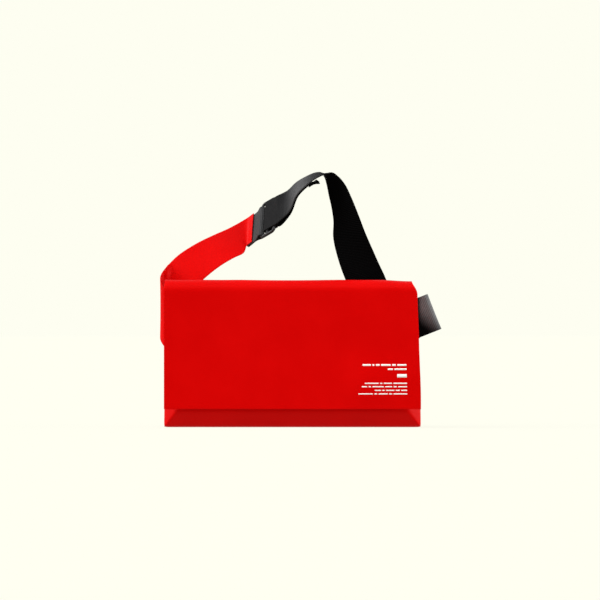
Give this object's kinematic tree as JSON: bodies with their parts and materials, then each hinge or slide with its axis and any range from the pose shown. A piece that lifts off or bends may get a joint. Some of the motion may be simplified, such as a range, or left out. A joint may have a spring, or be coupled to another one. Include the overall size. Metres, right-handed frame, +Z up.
{
  "type": "flap bag",
  "caption": "Shallow pouch of red coated fabric with a fold-over flap and an adjustable shoulder strap of coated fabric and black webbing, joined by a slider.",
  "frame": {"origin": "middle of the underside of the base strip that the bag stands on", "axes": "+Z up, towards the strap; -Y towards the flap and the front; +X to the right as seen from the front"},
  "size_m": [0.3739, 0.1281, 0.3393],
  "materials": {
    "coated_fabric": "satin coated fabric with a fine grain",
    "webbing": "ribbed black webbing",
    "slider_plastic": "black moulded plastic, semi-gloss",
    "closure": "matte hook-and-loop tape",
    "red_thread": "sewing thread",
    "black_thread": "sewing thread"
  },
  "bodies": {
    "pouch": {"back_panel": "coated_fabric", "front_panel": "coated_fabric", "side_gusset_left": "coated_fabric", "side_gusset_right": "coated_fabric", "mouth_hem": "coated_fabric", "loop_strip_left": "closure", "loop_strip_right": "closure", "red_strap_anchored": "coated_fabric", "red_strap_stitching": "red_thread", "webbing_anchored": "webbing", "webbing_stitching": "black_thread"},
    "flap": {"flap": "coated_fabric", "hook_strip_left": "closure", "hook_strip_right": "closure"},
    "strap": {"red_strap_free": "coated_fabric", "slider_loop": "webbing", "slider": "slider_plastic", "webbing_free": "webbing"},
    "tail": {"webbing_tail": "webbing", "tail_hem": "webbing"}
  },
  "joints": [
    {"name": "flap_fold", "type": "hinge", "parent": "pouch", "child": "flap", "pos_m": [0, 0.013, 0.1911], "axis": [-1, 0, 0], "range_deg": [0, 110]},
    {"name": "strap_swing", "type": "hinge", "parent": "pouch", "child": "strap", "pos_m": [0, 0.039, 0.199], "axis": [-1, 0, 0], "range_deg": [0, 90]},
    {"name": "tail_lift", "type": "hinge", "parent": "strap", "child": "tail", "pos_m": [-0.01743, 0.0486, 0.28504], "axis": [0.05, 0.6501, 0.7582], "range_deg": [0, 15]}
  ]
}
